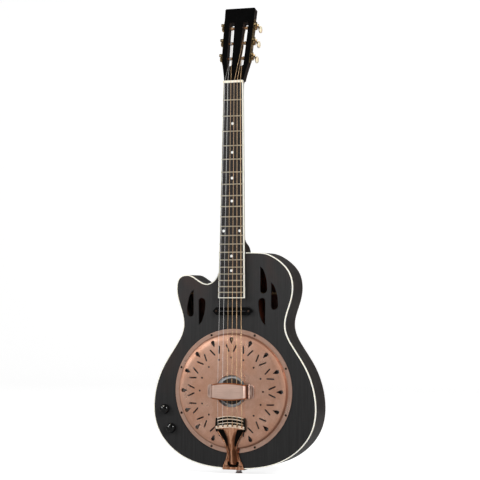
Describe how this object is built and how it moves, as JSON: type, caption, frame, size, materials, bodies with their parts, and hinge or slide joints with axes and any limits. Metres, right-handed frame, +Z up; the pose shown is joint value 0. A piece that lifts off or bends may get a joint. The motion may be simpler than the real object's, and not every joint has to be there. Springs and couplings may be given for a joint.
{
  "type": "resonator guitar",
  "caption": "Cutaway resonator guitar: hollow wooden body, spun metal cone under a pierced copper-toned cover plate, slotted head with geared tuners.",
  "frame": {"origin": "on the end jack's axis where it leaves the tail, half way through the body's depth", "axes": "+Z up the neck, -Y out of the front, +X to the viewer's right"},
  "size_m": [0.3644, 0.1099, 0.9962],
  "materials": {
    "top": "satin black stain, grain just visible",
    "back": "satin dark brown",
    "rim": "satin dark brown",
    "binding": "cream, lightly polished",
    "linings": "raw",
    "braces": "raw spruce",
    "blocks": "raw mahogany",
    "soundwell": "raw plywood",
    "cone": "spun, bright",
    "biscuit": "dark hardwood",
    "saddle": "raw maple",
    "cover_plate": "brushed copper finish, satin",
    "hand_rest": "brushed copper finish, pale",
    "tailpiece": "deep copper finish, satin",
    "strap_button": "polished",
    "output_jack": "polished",
    "neck": "satin dark brown mahogany",
    "head_plate": "gloss black veneer",
    "fretboard": "oiled dark hardwood",
    "board_binding": "cream",
    "frets": "polished nickel silver",
    "position_dots": "pearl white",
    "nut": "bone",
    "truss_rod": "plain",
    "strings": "bronze wound and plain steel",
    "pickup": "black",
    "control_pots": "plated",
    "wiring": "insulated cable",
    "wood_screws": "copper plated",
    "tuner_plates": "antique brass",
    "knobs": "black",
    "shafts": "machined",
    "buttons": "cream pearl",
    "worms": "antique brass",
    "gears": "antique brass",
    "rollers": "copper toned"
  },
  "bodies": {
    "body": {"top": "top", "back": "back", "rim": "rim", "binding": "binding", "linings": "linings", "braces": "braces", "neck_block": "blocks", "tail_block": "blocks", "soundwell": "soundwell", "cone": "cone", "biscuit": "biscuit", "saddle": "saddle", "cover_plate": "cover_plate", "hand_rest": "hand_rest", "tailpiece": "tailpiece", "strap_button": "strap_button", "output_jack": "output_jack", "neck": "neck", "head_plate": "head_plate", "fretboard": "fretboard", "board_binding": "board_binding", "frets": "frets", "position_dots": "position_dots", "nut": "nut", "truss_rod": "truss_rod", "strings": "strings", "pickup": "pickup", "control_pots": "control_pots", "wiring": "wiring", "wood_screws": "wood_screws", "tuner_plate_left": "tuner_plates", "tuner_plate_right": "tuner_plates"},
    "volume": {"volume_knob": "knobs", "volume_shaft": "shafts"},
    "tone": {"tone_knob": "knobs", "tone_shaft": "shafts"},
    "tuner_1_key": {"worm_1": "worms", "button_1": "buttons"},
    "tuner_1_post": {"roller_1": "rollers", "gear_1": "gears"},
    "tuner_2_key": {"worm_2": "worms", "button_2": "buttons"},
    "tuner_2_post": {"roller_2": "rollers", "gear_2": "gears"},
    "tuner_3_key": {"worm_3": "worms", "button_3": "buttons"},
    "tuner_3_post": {"roller_3": "rollers", "gear_3": "gears"},
    "tuner_4_key": {"worm_4": "worms", "button_4": "buttons"},
    "tuner_4_post": {"roller_4": "rollers", "gear_4": "gears"},
    "tuner_5_key": {"worm_5": "worms", "button_5": "buttons"},
    "tuner_5_post": {"roller_5": "rollers", "gear_5": "gears"},
    "tuner_6_key": {"worm_6": "worms", "button_6": "buttons"},
    "tuner_6_post": {"roller_6": "rollers", "gear_6": "gears"}
  },
  "joints": [
    {"name": "volume_turn", "type": "hinge", "parent": "body", "child": "volume", "pos_m": [-0.1553, -0.041, 0.123], "axis": [0, 1, 0], "range_deg": [-150, 150]},
    {"name": "tone_turn", "type": "hinge", "parent": "body", "child": "tone", "pos_m": [-0.1405, -0.041, 0.083], "axis": [0, 1, 0], "range_deg": [-150, 150]},
    {"name": "tuner_1_key_turn", "type": "hinge", "parent": "body", "child": "tuner_1_key", "pos_m": [0.03568, -0.01142, 0.87931], "axis": [0, 0.9668, -0.2554], "continuous": true},
    {"name": "tuner_1_post_turn", "type": "hinge", "parent": "body", "child": "tuner_1_post", "pos_m": [0.03086, -0.01325, 0.87237], "axis": [0.9996, -0.0076, -0.0287], "continuous": true},
    {"name": "tuner_2_key_turn", "type": "hinge", "parent": "body", "child": "tuner_2_key", "pos_m": [0.03671, -0.00248, 0.91313], "axis": [0, 0.9668, -0.2554], "continuous": true},
    {"name": "tuner_2_post_turn", "type": "hinge", "parent": "body", "child": "tuner_2_post", "pos_m": [0.0319, -0.00432, 0.90619], "axis": [0.9996, -0.0076, -0.0287], "continuous": true},
    {"name": "tuner_3_key_turn", "type": "hinge", "parent": "body", "child": "tuner_3_key", "pos_m": [0.03775, 0.00645, 0.94696], "axis": [0, 0.9668, -0.2554], "continuous": true},
    {"name": "tuner_3_post_turn", "type": "hinge", "parent": "body", "child": "tuner_3_post", "pos_m": [0.03294, 0.00462, 0.94002], "axis": [0.9996, -0.0076, -0.0287], "continuous": true},
    {"name": "tuner_4_key_turn", "type": "hinge", "parent": "body", "child": "tuner_4_key", "pos_m": [-0.03568, -0.01142, 0.87931], "axis": [0, 0.9668, -0.2554], "continuous": true},
    {"name": "tuner_4_post_turn", "type": "hinge", "parent": "body", "child": "tuner_4_post", "pos_m": [-0.03086, -0.01325, 0.87237], "axis": [0.9996, 0.0076, 0.0287], "continuous": true},
    {"name": "tuner_5_key_turn", "type": "hinge", "parent": "body", "child": "tuner_5_key", "pos_m": [-0.03671, -0.00248, 0.91313], "axis": [0, 0.9668, -0.2554], "continuous": true},
    {"name": "tuner_5_post_turn", "type": "hinge", "parent": "body", "child": "tuner_5_post", "pos_m": [-0.0319, -0.00432, 0.90619], "axis": [0.9996, 0.0076, 0.0287], "continuous": true},
    {"name": "tuner_6_key_turn", "type": "hinge", "parent": "body", "child": "tuner_6_key", "pos_m": [-0.03775, 0.00645, 0.94696], "axis": [0, 0.9668, -0.2554], "continuous": true},
    {"name": "tuner_6_post_turn", "type": "hinge", "parent": "body", "child": "tuner_6_post", "pos_m": [-0.03294, 0.00462, 0.94002], "axis": [0.9996, 0.0076, 0.0287], "continuous": true}
  ],
  "couplings": [
    {"joint": "tuner_1_post_turn", "follows": "tuner_1_key_turn", "ratio": 0.071429},
    {"joint": "tuner_2_post_turn", "follows": "tuner_2_key_turn", "ratio": 0.071429},
    {"joint": "tuner_3_post_turn", "follows": "tuner_3_key_turn", "ratio": 0.071429},
    {"joint": "tuner_4_post_turn", "follows": "tuner_4_key_turn", "ratio": 0.071429},
    {"joint": "tuner_5_post_turn", "follows": "tuner_5_key_turn", "ratio": 0.071429},
    {"joint": "tuner_6_post_turn", "follows": "tuner_6_key_turn", "ratio": 0.071429}
  ]
}
